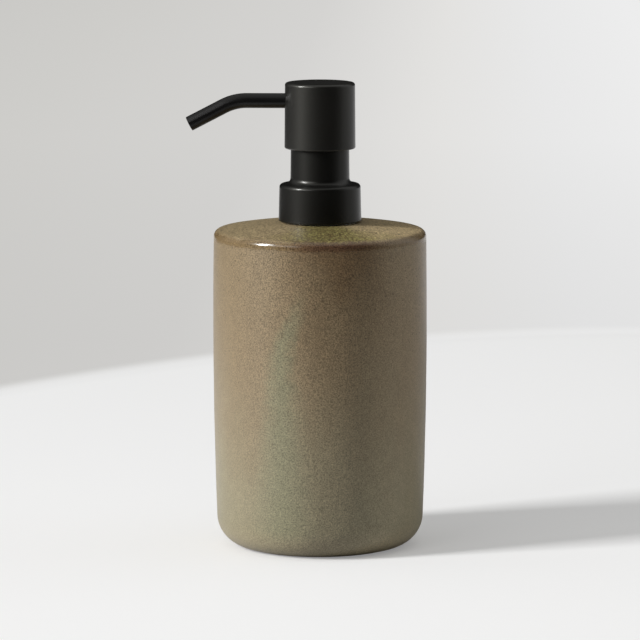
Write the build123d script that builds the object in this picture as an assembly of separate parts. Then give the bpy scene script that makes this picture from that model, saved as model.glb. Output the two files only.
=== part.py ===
from build123d import *

import os
from math import asin, cos, radians, sin, sqrt, tan

# Soap pump dispenser: a glazed stoneware bottle with a screw-on lotion pump.
#
# Units are millimetres and degrees. The origin is the centre of the bottle's foot ring, on the
# surface that it stands on. +Z is up along the pump's axis, and the spout points along -X.
# Radii are all about the pump's axis, and the pump is drawn with its head up.

# ---------------------------------------------------------------- driving dimensions
# Clearances
rotating_gap = 0.2  # between faces that turn or slide past each other
running_gap = 0.05  # radial, a piston or stem in its bore
seated_gap = 0.02  # radial, pieces pushed together for good
loose_gap = 0.4  # where a piece passes another with room to spare
small_round = 0.3  # the broken edge of a moulding

# Bottle: a gently bowed wall between a wide foot curve and a low domed top
bottle_belly_radius = 43.0
bottle_belly_height = 89.0
bottle_bow = 1.4  # how much narrower the wall is where the foot curve starts
foot_curve_height = 11.8
foot_curve_width = 10.0
bottle_shoulder_height = 127.4  # where wall and top would meet without their round
bottle_shoulder_round = 2.8
bottle_crown = 3.9  # rise of the domed top from the shoulder to the centre
bottle_wall = 5.0
bottle_floor = 6.0
bottle_top_wall = 5.5
bottle_inner_round = 6.0
foot_ring_width = 4.2
foot_recess = 1.5
foot_edge_round = 0.5

# Neck: a threaded insert glued into the bottle's mouth (28 mm, 6 threads per inch)
neck_root_radius = 12.65
neck_wall = 2.25
neck_lead = 0.4  # plain rim above the thread
neck_flange_thickness = 1.2
neck_spigot_step = 0.35  # the spigot is this much thicker than the neck
neck_spigot_reach = 1.5  # past the inside of the bottle's top
land_margin = 1.0  # the ground flat on the bottle, outside the neck's flange
sealant_thickness = 0.4
sealant_setback = 0.5  # from the inside of the bottle's top
thread_pitch = 25.4 / 6
thread_depth = 1.1
thread_tip_width = 0.8
thread_flank_angle = 30.0
thread_sink = 0.25  # how far a ridge is rooted in its wall
neck_thread_turns = 1.0
closure_thread_turns = 1.2

# Collar: a ribbed threaded closure in a smooth shell that carries the guide sleeve
closure_skirt_wall = 0.85
closure_web_thickness = 1.1
closure_rib_count = 24
closure_rib_width = 0.8
closure_rib_height = 0.4
collar_wall = 1.05
collar_draft = 0.35  # the collar's foot is this much wider than its top
collar_plate_thickness = 1.1
collar_lift = 0.45  # the collar's lower edge over the bottle
collar_top_round = 1.4
collar_bottom_round = 0.5
guide_wall = 0.95
guide_draft = 0.2
guide_foot_round = 2.3
guide_overlap = 3.1  # how far the sleeve reaches into the head at rest

# Pump body: housing, chaplet, seals, ball valve and dip tube
gasket_thickness = 1.0
housing_bore_radius = 6.3
housing_wall = 1.0
housing_flange_setback = 0.25  # the flange is this much smaller than the neck
housing_flange_thickness = 1.3
housing_stub_wall = 2.0
housing_stub_height = 9.3
housing_lower_wall = 1.2
vent_radius = 0.6
vent_drop = 3.0  # below the flange
vent_count = 2
ball_radius = 2.5
ball_play = 1.2
ball_lift = 2.0
ball_seat_margin = 0.17  # the throat is this much smaller than the ball's seat
ball_throat_length = 1.6
cage_thickness = 2.4
cage_rim_width = 2.3
cage_hub_radius = 1.5
cage_arm_width = 1.3
cage_arm_count = 3
chaplet_wall = 0.95
chaplet_catch_width = 1.05
chaplet_catch_thickness = 1.2
chaplet_web_thickness = 2.8
chaplet_sleeve_drop = 2.4  # below the top of the housing's flange
chaplet_top_round = 0.8
seal_width = 1.7
seal_thickness = 1.6
tube_radius = 3.0
tube_wall = 0.8
tube_socket_depth = 11.0
tube_floor_gap = 3.0
tube_cut_angle = 40.0

# Plunger: stem, piston, poppet and spring
pump_stroke = 11.0
stem_radius = 3.5
stem_wall = 1.4
stem_lower_wall = 1.1
stem_shoulder_width = 1.5
stem_shoulder_thickness = 1.1
stem_port_radius = 0.8
stem_port_count = 4
piston_slip = 1.2  # how far the piston slides on the stem
piston_height = 8.1
piston_waist = 0.9  # the body is this much smaller than the bore
piston_lip_length = 2.0
piston_recess_width = 1.1
piston_recess_height = 3.6
poppet_clearance = 1.1
poppet_disc_thickness = 1.6
poppet_cup_wall = 0.38
poppet_cone_overlap = 0.6  # the cone is this much wider than the recess it closes
poppet_cone_height = 2.0
poppet_shank_length = 2.2
poppet_pilot_length = 3.0
poppet_pilot_play = 0.65
spring_wire_radius = 0.55
spring_clearance = 1.45  # between the coils and the bore
spring_coils = 7.0
spring_spare = 6.5  # between the coils' solid length and their length at full stroke

# Head
head_play = 0.65  # between the head's bore and the guide sleeve
head_wall = 1.5
head_draft = 0.2
head_top_thickness = 1.5
head_top_round = 1.1
head_bottom_round = 0.6
head_stop_gap = 0.9  # under the head at full stroke
core_wall = 1.2
core_boss_wall = 1.68
core_boss_gap = 1.2  # under the boss at full stroke
core_rim_gap = 0.5  # over the guide sleeve at full stroke
core_rim_skirt = 0.2  # the rim hangs this far below the spout's boss
core_rib_count = 5
stem_stop_wall = 1.1  # between the stem's end and the soap channel

# Spout
spout_radius = 3.0
spout_wall = 0.5
spout_liner_wall = 0.5
spout_liner_setback = 0.6
spout_drop = 7.4  # from the head's top face down to the spout's axis
spout_level_run = 20.0  # from the head's skirt to where the two straight runs would meet
spout_tip_run = 20.4  # from there to the tip
spout_droop = 27.5
spout_bend_radius = 20.0

past = 1.0  # cutters reach this far past what they cut


# ---------------------------------------------------------------- places worked out from them
# Bottle: the wall's curve and the top's dome are arcs through three known points
bottle_low_radius = bottle_belly_radius - bottle_bow
foot_ring_radius = bottle_low_radius - foot_curve_width
wall_chord = bottle_belly_height - foot_curve_height
wall_arc = (wall_chord**2 + bottle_bow**2) / (2 * bottle_bow)


def wall_radius(z):
    """The bottle's outer radius at height z, on the wall."""
    return bottle_belly_radius - wall_arc + sqrt(wall_arc**2 - (z - bottle_belly_height) ** 2)


shoulder_radius = wall_radius(bottle_shoulder_height)
crown_arc = (shoulder_radius**2 + bottle_crown**2) / (2 * bottle_crown)
bottle_top = bottle_shoulder_height + bottle_crown


def top_height(r):
    """The height of the bottle's domed top at radius r."""
    return bottle_top - crown_arc + sqrt(crown_arc**2 - r**2)


# Radii, from the stem outwards
stem_bore_radius = stem_radius - stem_wall
stem_lower_radius = stem_bore_radius + stem_lower_wall
stem_shoulder_radius = stem_radius + stem_shoulder_width
stem_hole_radius = stem_radius + rotating_gap
piston_recess_radius = stem_lower_radius + piston_recess_width
poppet_cup_radius = stem_lower_radius + seated_gap
poppet_cone_top_radius = poppet_cup_radius + poppet_cup_wall
poppet_cone_bottom_radius = piston_recess_radius + poppet_cone_overlap
spring_mean_radius = housing_bore_radius - spring_clearance - spring_wire_radius
ball_chamber_radius = ball_radius + ball_play
ball_throat_radius = ball_radius / sqrt(2) - ball_seat_margin
housing_outer_radius = housing_bore_radius + housing_wall
housing_stub_radius = housing_bore_radius + housing_stub_wall
chaplet_bore_radius = housing_stub_radius + seated_gap
chaplet_skirt_radius = chaplet_bore_radius + chaplet_wall
chaplet_catch_radius = chaplet_skirt_radius + chaplet_catch_width
web_hole_radius = chaplet_skirt_radius + rotating_gap
housing_flange_radius = neck_root_radius - housing_flange_setback
neck_bore_radius = neck_root_radius - neck_wall
neck_spigot_radius = neck_root_radius + neck_spigot_step
mouth_radius = neck_spigot_radius + sealant_thickness
neck_crest_radius = neck_root_radius + thread_depth
closure_root_radius = neck_crest_radius + rotating_gap
closure_outer_radius = closure_root_radius + closure_skirt_wall
neck_flange_radius = closure_outer_radius
land_radius = neck_flange_radius + land_margin
collar_inner_radius = closure_outer_radius + closure_rib_height
collar_top_radius = collar_inner_radius + collar_wall
collar_bottom_radius = collar_top_radius + collar_draft
guide_bore_radius = chaplet_catch_radius + loose_gap
guide_top_radius = guide_bore_radius + guide_wall
guide_bottom_radius = guide_top_radius + guide_draft
head_bore_radius = guide_bottom_radius + head_play
head_top_radius = head_bore_radius + head_wall
head_bottom_radius = head_top_radius + head_draft
core_boss_radius = stem_radius + core_boss_wall
spout_boss_radius = spout_radius + core_wall

# Heights of the neck, gasket, flange, closure and collar, stacked on the bottle's land
ridge_half = thread_tip_width / 2 + (thread_depth + thread_sink) * tan(radians(thread_flank_angle))
land_z = top_height(land_radius)
neck_flange_top = land_z + neck_flange_thickness
skirt_bottom = neck_flange_top + loose_gap
closure_thread_z = skirt_bottom + ridge_half
neck_thread_z = closure_thread_z + thread_pitch / 2
neck_rim = neck_thread_z + thread_pitch * neck_thread_turns + ridge_half + neck_lead
flange_bottom = neck_rim + gasket_thickness
flange_top = flange_bottom + housing_flange_thickness
web_bottom = flange_top + rotating_gap
web_top = web_bottom + closure_web_thickness
collar_bottom = land_z + collar_lift
collar_top = web_top + collar_plate_thickness

# Heights of the chaplet and of the plunger's lower end, which hangs from it
stub_top = flange_top + housing_stub_height
chaplet_catch_bottom = web_top + rotating_gap
chaplet_catch_top = chaplet_catch_bottom + chaplet_catch_thickness
chaplet_ceiling = stub_top + loose_gap
chaplet_top = chaplet_ceiling + chaplet_web_thickness
seal_bottom = chaplet_top - seal_thickness
sleeve_bottom = flange_top - chaplet_sleeve_drop
shoulder_top = sleeve_bottom - rotating_gap
shoulder_bottom = shoulder_top - stem_shoulder_thickness
piston_top = shoulder_bottom - piston_slip - rotating_gap
piston_bottom = piston_top - piston_height
cone_run = poppet_cone_bottom_radius - poppet_cone_top_radius
seat_rise = poppet_cone_height * poppet_cone_overlap / cone_run
cone_bottom = piston_bottom - rotating_gap - seat_rise
poppet_bottom = cone_bottom - poppet_disc_thickness
shank_top = cone_bottom + poppet_shank_length
port_z = shank_top + rotating_gap + stem_port_radius

# Heights of the housing's lower end, which the spring's solid length and the ball set
spring_top = poppet_bottom
spring_bottom = spring_top - pump_stroke - spring_spare - 2 * spring_wire_radius * spring_coils
ledge_z = spring_bottom - cage_thickness
ball_z = ledge_z - loose_gap - ball_lift - ball_radius
throat_top = ball_z - rotating_gap / 2 - ball_radius * sqrt(2) + ball_throat_radius
cone_top = throat_top + ball_chamber_radius - ball_throat_radius
socket_top = throat_top - ball_throat_length
socket_bottom = socket_top - tube_socket_depth

# Heights of the head, which clears the collar, the sleeve and the chaplet at full stroke
head_bottom = collar_top + guide_foot_round + head_stop_gap + pump_stroke
guide_top = head_bottom + guide_overlap
core_rim_bottom = guide_top + pump_stroke + core_rim_gap
spout_z = core_rim_bottom + core_rim_skirt + spout_boss_radius
head_top = spout_z + spout_drop
head_ceiling = head_top - head_top_thickness
core_plate_bottom = head_ceiling - core_wall
core_boss_bottom = chaplet_top + pump_stroke + core_boss_gap
stem_top = spout_z - stem_bore_radius - stem_stop_wall

on_base = (Align.CENTER, Align.CENTER, Align.MIN)
under_top = (Align.CENTER, Align.CENTER, Align.MAX)


# ---------------------------------------------------------------- helpers
def nearest(shape, x, y):
    """The vertex of a flat outline closest to the point x, y."""
    return min(shape.vertices(), key=lambda v: (v.X - x) ** 2 + (v.Y - y) ** 2)


def outline(corners):
    """A closed outline through corners (radius, height); a third number rounds that corner."""
    face = Face(Wire.make_polygon([corner[:2] for corner in corners], close=True))
    for corner in corners:
        if len(corner) > 2:
            face = face.fillet_2d(corner[2], [nearest(face, corner[0], corner[1])])
    return face


def turned(face):
    """The solid that a flat outline of (radius, height) sweeps about the pump's axis."""
    return revolve(Plane.XZ * face, axis=Axis.Z)


def rod(radius, bottom, top):
    """An upright cylinder on the pump's axis."""
    return Pos(0, 0, bottom) * Cylinder(radius, top - bottom, align=on_base)


def ring(outer, inner, bottom, top):
    """An upright tube on the pump's axis."""
    return rod(outer, bottom, top) - rod(inner, bottom, top)


def side_bar(radius, reach, height, angle=0.0):
    """A level round bar from the axis out to reach, turned by angle about the axis."""
    bar = Cylinder(radius, reach, align=on_base)
    return Rot(0, 0, angle) * Pos(0, 0, height) * Rot(0, 90, 0) * bar


def around(count, piece, first=0.0):
    """Copies of a piece, evenly spaced about the pump's axis."""
    return [Rot(0, 0, first + 360 * i / count) * piece for i in range(count)]


def thread_ridge(wall, side, turns, start_z):
    """A helical ridge on a wall: side is 1 on the outside of the neck, -1 inside the closure."""
    root = wall - side * thread_sink
    tip = wall + side * thread_depth
    tip_half = thread_tip_width / 2
    section = outline(
        [
            (root, start_z - ridge_half),
            (tip, start_z - tip_half),
            (tip, start_z + tip_half),
            (root, start_z + ridge_half),
        ]
    )
    path = Helix(thread_pitch, thread_pitch * turns, wall, center=(0, 0, start_z))
    return sweep(Plane.XZ * section, path=path, is_frenet=True)


# ---------------------------------------------------------------- bottle
def bottle_outside():
    """The bottle's outer form as a half section: foot ring, foot curve, bowed wall, domed top."""
    ring_inner = foot_ring_radius - foot_ring_width
    wall_foot = (bottle_low_radius, foot_curve_height)
    shoulder = (shoulder_radius, bottle_shoulder_height)
    lean = asin(wall_chord / wall_arc)  # from level, where the foot curve leaves the wall
    half_radius = shoulder_radius / 2
    with BuildSketch() as section:
        with BuildLine():
            Polyline(
                (0, bottle_top),
                (0, foot_recess),
                (ring_inner, foot_recess),
                (ring_inner, 0),
                (foot_ring_radius, 0),
            )
            TangentArc(wall_foot, (foot_ring_radius, 0), tangent=(-sin(lean), -cos(lean)))
            ThreePointArc(wall_foot, (bottle_belly_radius, bottle_belly_height), shoulder)
            ThreePointArc(shoulder, (half_radius, top_height(half_radius)), (0, bottle_top))
        make_face()
        fillet(nearest(section.sketch, *shoulder), bottle_shoulder_round)
        fillet(nearest(section.sketch, ring_inner, 0), foot_edge_round)
    return section.sketch


def bottle_inside():
    """The cavity as a half section: the outer form moved in by the wall, the floor and the top."""
    floor_edge = (wall_radius(bottle_floor) - bottle_wall, bottle_floor)
    belly = (bottle_belly_radius - bottle_wall, bottle_belly_height)
    ceiling = (0, bottle_top - bottle_top_wall)
    edge_z = top_height(shoulder_radius - bottle_wall) - bottle_top_wall
    top_edge = (wall_radius(edge_z) - bottle_wall, edge_z)
    half_radius = top_edge[0] / 2
    with BuildSketch() as section:
        with BuildLine():
            Polyline(ceiling, (0, bottle_floor), floor_edge)
            ThreePointArc(floor_edge, belly, top_edge)
            ThreePointArc(top_edge, (half_radius, top_height(half_radius) - bottle_top_wall), ceiling)
        make_face()
        fillet(nearest(section.sketch, *floor_edge), bottle_inner_round)
        fillet(nearest(section.sketch, *top_edge), bottle_inner_round)
    return section.sketch


def bottle():
    body = turned(bottle_outside()) - turned(bottle_inside())
    body -= rod(mouth_radius, land_z - bottle_top_wall - past, bottle_top + past)
    return body - rod(land_radius, land_z, bottle_top + past)


def neck_insert():
    """The threaded neck, with a flange on the bottle's land and a spigot in its mouth."""
    spigot_end = land_z - bottle_top_wall - neck_spigot_reach
    neck = turned(
        outline(
            [
                (neck_bore_radius, spigot_end),
                (neck_spigot_radius, spigot_end, small_round),
                (neck_spigot_radius, land_z),
                (neck_flange_radius, land_z),
                (neck_flange_radius, neck_flange_top, small_round),
                (neck_root_radius, neck_flange_top),
                (neck_root_radius, neck_rim, small_round),
                (neck_bore_radius, neck_rim),
            ]
        )
    )
    return neck + thread_ridge(neck_root_radius, 1, neck_thread_turns, neck_thread_z)


def mouth_sealant():
    """The ring of sealant that glues the neck's spigot into the mouth."""
    bottom = land_z - bottle_top_wall + sealant_setback
    return ring(mouth_radius, neck_spigot_radius, bottom, land_z)


# ---------------------------------------------------------------- collar
def collar_shell():
    """The smooth outer shell of the collar, with the guide sleeve standing on it."""
    plate_width = collar_top_radius - guide_bottom_radius
    foot_round = min(guide_foot_round, plate_width - collar_top_round - small_round)
    return turned(
        outline(
            [
                (collar_inner_radius, collar_bottom),
                (collar_bottom_radius, collar_bottom, collar_bottom_round),
                (collar_top_radius, collar_top, collar_top_round),
                (guide_bottom_radius, collar_top, foot_round),
                (guide_top_radius, guide_top, small_round),
                (guide_bore_radius, guide_top),
                (guide_bore_radius, web_top),
                (collar_inner_radius, web_top),
            ]
        )
    )


def closure():
    """The threaded cap inside the collar; its web traps the housing's flange on the neck."""
    cap = turned(
        outline(
            [
                (closure_root_radius, skirt_bottom),
                (closure_outer_radius, skirt_bottom),
                (closure_outer_radius, web_top),
                (web_hole_radius, web_top),
                (web_hole_radius, web_bottom),
                (closure_root_radius, web_bottom),
            ]
        )
    )
    rib_root = closure_outer_radius - closure_skirt_wall / 2
    rib_reach = collar_inner_radius - seated_gap - rib_root
    rib = Box(rib_reach, closure_rib_width, web_top - skirt_bottom, align=on_base)
    cap += around(closure_rib_count, Pos(rib_root + rib_reach / 2, 0, skirt_bottom) * rib)
    return cap + thread_ridge(closure_root_radius, -1, closure_thread_turns, closure_thread_z)


# ---------------------------------------------------------------- pump body
def neck_gasket():
    """The washer that seals the housing's flange on the neck's rim."""
    return ring(housing_flange_radius, housing_outer_radius + rotating_gap, neck_rim, flange_bottom)


def housing():
    """The pump's cylinder: flange on the neck, barrel, ball seat and the dip tube's socket."""
    chamber_outer = ball_chamber_radius + housing_lower_wall
    socket_radius = tube_radius + seated_gap
    socket_outer = socket_radius + housing_lower_wall
    barrel_end = ledge_z - housing_wall
    body = turned(
        outline(
            [
                (housing_bore_radius, stub_top),
                (housing_stub_radius, stub_top, small_round),
                (housing_stub_radius, flange_top),
                (housing_flange_radius, flange_top),
                (housing_flange_radius, flange_bottom),
                (housing_outer_radius, flange_bottom),
                (housing_outer_radius, barrel_end),
                (chamber_outer, barrel_end - (housing_outer_radius - chamber_outer)),
                (chamber_outer, socket_top),
                (socket_outer, socket_top - housing_lower_wall),
                (socket_outer, socket_bottom),
                (socket_radius, socket_bottom),
                (socket_radius, socket_top),
                (ball_throat_radius, socket_top),
                (ball_throat_radius, throat_top),
                (ball_chamber_radius, cone_top),
                (ball_chamber_radius, ledge_z),
                (housing_bore_radius, ledge_z),
            ]
        )
    )
    vent = side_bar(vent_radius, housing_outer_radius + past, flange_bottom - vent_drop)
    return body - around(vent_count, vent, first=90)


def chaplet():
    """The cap snapped on the housing: it traps the closure and guides the stem."""
    sleeve_radius = housing_bore_radius - rotating_gap
    seal_radius = stem_radius + seal_width
    return turned(
        outline(
            [
                (stem_hole_radius, sleeve_bottom),
                (sleeve_radius, sleeve_bottom),
                (sleeve_radius, chaplet_ceiling),
                (chaplet_bore_radius, chaplet_ceiling),
                (chaplet_bore_radius, flange_top),
                (chaplet_skirt_radius, flange_top),
                (chaplet_skirt_radius, chaplet_catch_bottom),
                (chaplet_catch_radius, chaplet_catch_bottom),
                (chaplet_catch_radius, chaplet_catch_top, small_round),
                (chaplet_skirt_radius, chaplet_catch_top),
                (chaplet_skirt_radius, chaplet_top, chaplet_top_round),
                (seal_radius, chaplet_top),
                (seal_radius, seal_bottom),
                (stem_hole_radius, seal_bottom),
            ]
        )
    )


def stem_seal():
    """The wiper ring round the stem, pressed into the chaplet's top."""
    outer = stem_radius + seal_width - seated_gap
    return ring(outer, stem_radius + running_gap, seal_bottom, chaplet_top)


def ball_cage():
    """The spider on the housing's ledge: it seats the spring and stops the ball's lift."""
    rim_radius = housing_bore_radius - seated_gap
    arm_reach = rim_radius - cage_rim_width / 2
    arm = Box(arm_reach, cage_arm_width, cage_thickness, align=on_base)
    arms = around(cage_arm_count, Pos(arm_reach / 2, 0, ledge_z) * arm)
    rim = ring(rim_radius, rim_radius - cage_rim_width, ledge_z, spring_bottom)
    return rim + rod(cage_hub_radius, ledge_z, spring_bottom) + arms


def inlet_ball():
    return Pos(0, 0, ball_z) * Sphere(ball_radius)


def dip_tube():
    """The suction tube, cut off at a slant just over the bottle's floor."""
    bottom = bottle_floor + tube_floor_gap
    tube = ring(tube_radius, tube_radius - tube_wall, bottom, socket_top)
    reach = 8 * tube_radius
    slab = Box(reach, reach, reach, align=under_top)
    return tube - Pos(tube_radius, 0, bottom) * Rot(0, -tube_cut_angle, 0) * slab


# ---------------------------------------------------------------- plunger
def return_spring():
    """Compression spring between the ball cage and the poppet, ground flat at both ends."""
    length = spring_top - spring_bottom
    start = spring_bottom - spring_wire_radius
    coil = Helix(
        length / spring_coils,
        length + 2 * spring_wire_radius,
        spring_mean_radius,
        center=(0, 0, start),
    )
    wire = sweep((coil ^ 0) * Circle(spring_wire_radius), path=coil, is_frenet=True)
    return wire & rod(spring_mean_radius + 2 * spring_wire_radius, spring_bottom, spring_top)


def stem():
    """The hollow stem: pushed into the head, with a shoulder that stops it under the chaplet."""
    tube = turned(
        outline(
            [
                (stem_bore_radius, cone_bottom),
                (stem_lower_radius, cone_bottom),
                (stem_lower_radius, shoulder_bottom),
                (stem_shoulder_radius, shoulder_bottom),
                (stem_shoulder_radius, shoulder_top),
                (stem_radius, shoulder_top),
                (stem_radius, stem_top, small_round),
                (stem_bore_radius, stem_top),
            ]
        )
    )
    port = side_bar(stem_port_radius, stem_lower_radius + past, port_z)
    return tube - around(stem_port_count, port)


def piston():
    """The sliding piston: two lips on the barrel, and a recess over the stem's ports."""
    lip_radius = housing_bore_radius - running_gap
    body_radius = housing_bore_radius - piston_waist
    bore_radius = stem_lower_radius + running_gap
    half_lip = piston_lip_length / 2
    recess_top = piston_bottom + piston_recess_height
    return turned(
        outline(
            [
                (piston_recess_radius, piston_bottom),
                (lip_radius, piston_bottom),
                (lip_radius, piston_bottom + half_lip),
                (body_radius, piston_bottom + piston_lip_length),
                (body_radius, piston_top - piston_lip_length),
                (lip_radius, piston_top - half_lip),
                (lip_radius, piston_top),
                (bore_radius, piston_top),
                (bore_radius, recess_top),
                (piston_recess_radius, recess_top),
            ]
        )
    )


def poppet():
    """The valve on the stem's end: its cone closes the piston, its pilot centres the spring."""
    disc_radius = housing_bore_radius - poppet_clearance
    shank_radius = stem_bore_radius - seated_gap
    pilot_radius = spring_mean_radius - spring_wire_radius - poppet_pilot_play
    pilot_bottom = poppet_bottom - poppet_pilot_length
    cone_end = cone_bottom + poppet_cone_height
    return turned(
        outline(
            [
                (0, pilot_bottom),
                (pilot_radius, pilot_bottom, small_round),
                (pilot_radius, poppet_bottom),
                (disc_radius, poppet_bottom),
                (disc_radius, cone_bottom),
                (poppet_cone_bottom_radius, cone_bottom),
                (poppet_cone_top_radius, cone_end),
                (poppet_cup_radius, cone_end),
                (poppet_cup_radius, cone_bottom),
                (shank_radius, cone_bottom),
                (shank_radius, shank_top),
                (0, shank_top),
            ]
        )
    )


# ---------------------------------------------------------------- head
def head_shell():
    """The finger cap: a plain drafted cup with a hole for the spout."""
    cup = turned(
        outline(
            [
                (head_bore_radius, head_bottom),
                (head_bottom_radius, head_bottom, head_bottom_round),
                (head_top_radius, head_top, head_top_round),
                (0, head_top),
                (0, head_ceiling),
                (head_bore_radius, head_ceiling),
            ]
        )
    )
    return cup - side_bar(spout_radius + seated_gap, head_bottom_radius + past, spout_z, 180)


def actuator_core():
    """The moulding inside the head: it joins the stem to the spout, and its ribs fill the cap."""
    rim_radius = head_bore_radius - seated_gap
    rib_reach = rim_radius - core_wall / 2
    bar_reach = sqrt(rim_radius**2 - spout_boss_radius**2) - seated_gap
    rib = Box(rib_reach, core_wall, core_plate_bottom - spout_z, align=on_base)
    half_step = 360 / core_rib_count / 2
    core = ring(rim_radius, rim_radius - core_wall, core_rim_bottom, head_ceiling)
    core += rod(rim_radius, core_plate_bottom, head_ceiling)
    core += rod(core_boss_radius, core_boss_bottom, head_ceiling)
    core += around(core_rib_count, Pos(rib_reach / 2, 0, spout_z) * rib, first=half_step)
    core += side_bar(spout_boss_radius, bar_reach, spout_z, 180)
    spout_socket = side_bar(spout_radius + seated_gap, rim_radius + past, spout_z, 180)
    core -= spout_socket - side_bar(spout_boss_radius, core_boss_radius, spout_z, 180)
    core -= side_bar(stem_bore_radius, core_boss_radius, spout_z, 180)
    core -= rod(stem_bore_radius, stem_top, spout_z)
    return core - rod(stem_radius + seated_gap, core_boss_bottom, stem_top)


def spout_piece(outer, inner, setback=0.0):
    """A tube along the spout's line: level out along -X, one bend, then down to the tip."""
    droop = radians(spout_droop)
    run = spout_tip_run - setback
    corner_x = -head_bottom_radius - spout_level_run
    tip = (corner_x - run * cos(droop), 0, spout_z - run * sin(droop))
    inner_end = (-core_boss_radius, 0, spout_z)
    line = FilletPolyline(inner_end, (corner_x, 0, spout_z), tip, radius=spout_bend_radius)
    return sweep((line ^ 0) * (Circle(outer) - Circle(inner)), path=line)


def spout_tube():
    return spout_piece(spout_radius, spout_radius - spout_wall)


def spout_liner():
    """The plastic tube inside the spout, which carries the soap."""
    outer = spout_radius - spout_wall - seated_gap
    return spout_piece(outer, outer - spout_liner_wall, spout_liner_setback)


# ---------------------------------------------------------------- write one STEP per node
PIECES = [
    bottle,
    neck_insert,
    mouth_sealant,
    collar_shell,
    closure,
    neck_gasket,
    housing,
    chaplet,
    stem_seal,
    ball_cage,
    inlet_ball,
    dip_tube,
    return_spring,
    stem,
    piston,
    poppet,
    head_shell,
    actuator_core,
    spout_tube,
    spout_liner,
]

os.makedirs("parts", exist_ok=True)
for piece in PIECES:
    export_step(piece(), f"parts/{piece.__name__}.step")
print(f"overall height {head_top:.2f}, collar top {collar_top:.2f}, spout axis {spout_z:.2f}")
print(f"the neck's thread is free after {neck_thread_turns:.2f} turns of {thread_pitch:.4f}")
print(f"spring from {spring_bottom:.2f} to {spring_top:.2f}, land at {land_z:.2f}")
print(f"bottle cavity from {bottle_floor:.2f} to {bottle_top - bottle_top_wall:.2f}")
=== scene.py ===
# %% [markdown]
# # Soap pump dispenser
# A soap dispenser is two trades in one object: a potter's jar and a moulder's pump. The jar is glazed
# stoneware, squat and almost straight, and the pump is black plastic with a bent steel spout. The
# imported CAD model already holds every working piece at its true size. This script adds what CAD
# doesn't: the glaze, the black finishes, the plastics inside, a coiled spring, the light and the
# camera.
#
# Everything is in metres, with the jar's foot on z = 0, the pump's axis on z and the spout along -x.

# %% Load the imported model
from math import asin, cos, pi, radians, sin, sqrt, tan

import bmesh
import bpy
from mathutils import Matrix, Vector, noise


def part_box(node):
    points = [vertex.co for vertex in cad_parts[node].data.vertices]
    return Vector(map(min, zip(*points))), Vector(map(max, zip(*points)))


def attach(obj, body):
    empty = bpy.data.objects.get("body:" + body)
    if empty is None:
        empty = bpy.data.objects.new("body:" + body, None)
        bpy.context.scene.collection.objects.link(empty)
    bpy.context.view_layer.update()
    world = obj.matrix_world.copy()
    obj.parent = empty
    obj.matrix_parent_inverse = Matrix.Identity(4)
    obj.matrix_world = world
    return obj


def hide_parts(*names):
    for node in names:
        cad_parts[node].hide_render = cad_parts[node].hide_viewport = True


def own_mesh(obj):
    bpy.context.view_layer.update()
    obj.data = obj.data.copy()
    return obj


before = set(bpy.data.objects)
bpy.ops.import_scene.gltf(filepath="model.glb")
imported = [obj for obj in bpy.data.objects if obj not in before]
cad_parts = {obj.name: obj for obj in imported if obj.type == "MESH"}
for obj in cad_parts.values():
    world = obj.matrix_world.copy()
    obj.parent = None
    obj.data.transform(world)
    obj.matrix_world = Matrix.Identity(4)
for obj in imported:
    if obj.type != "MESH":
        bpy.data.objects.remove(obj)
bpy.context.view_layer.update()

mm = 0.001

# %% [markdown]
# ## Colours and nodes
# A colour is written the way a paint chart gives it, as sRGB hex. A shader adds light, so it needs
# linear numbers: one function turns the first into the second. A second small function adds a node
# with its settings and links, which keeps each material short enough to read from top to bottom.

# %% Helpers for colours and nodes


def colour(code):
    """An sRGB hex colour as linear red, green, blue and alpha."""
    parts = [int(code[i : i + 2], 16) / 255 for i in (1, 3, 5)]
    return [p / 12.92 if p <= 0.04045 else ((p + 0.055) / 1.055) ** 2.4 for p in parts] + [1.0]


def add(tree, kind, inputs=None, **settings):
    """Adds a node. An input is a number, a colour, or another node's output to link."""
    node = tree.nodes.new(kind)
    for name, value in settings.items():
        setattr(node, name, value)
    for socket, value in (inputs or {}).items():
        if isinstance(value, bpy.types.NodeSocket):
            tree.links.new(value, node.inputs[socket])
        else:
            node.inputs[socket].default_value = value
    return node


def new_material(name):
    """An empty material: its tree, and a surface shader joined to the output."""
    material = bpy.data.materials.new(name)
    material.use_nodes = True
    tree = material.node_tree
    tree.nodes.clear()
    shader = add(tree, "ShaderNodeBsdfPrincipled")
    add(tree, "ShaderNodeOutputMaterial", {"Surface": shader.outputs["BSDF"]})
    return material, tree, shader


print("mid grey:", [round(c, 3) for c in colour("#808080")])

# %% [markdown]
# ## Camera
# The dispenser is seen from the front, a little from above, through a long lens. A long lens from far
# away keeps the jar's sides nearly parallel, as the eye remembers them. A short lens close by would
# make the pump look larger than it is. The camera stands a touch to the right of straight on.

# %% Camera
camera_distance = 1.8
camera_height = 0.34987
camera_turn = radians(2.0)  # to the right of straight on
camera_pitch = radians(8.187)  # downwards
camera_data = bpy.data.cameras.new("camera")
camera_data.lens = 254.3  # in millimetres, on a sensor as wide as small film
camera_data.sensor_width = 36.0
camera = bpy.data.objects.new("camera", camera_data)
camera.location = (
    camera_distance * sin(camera_turn),
    -camera_distance * cos(camera_turn),
    camera_height,
)
camera.rotation_euler = (pi / 2 - camera_pitch, 0.0, camera_turn)
bpy.context.scene.collection.objects.link(camera)
bpy.context.scene.camera = camera
bpy.context.scene.view_settings.view_transform = "Standard"
print("camera at", [round(c, 3) for c in camera.location])
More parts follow.
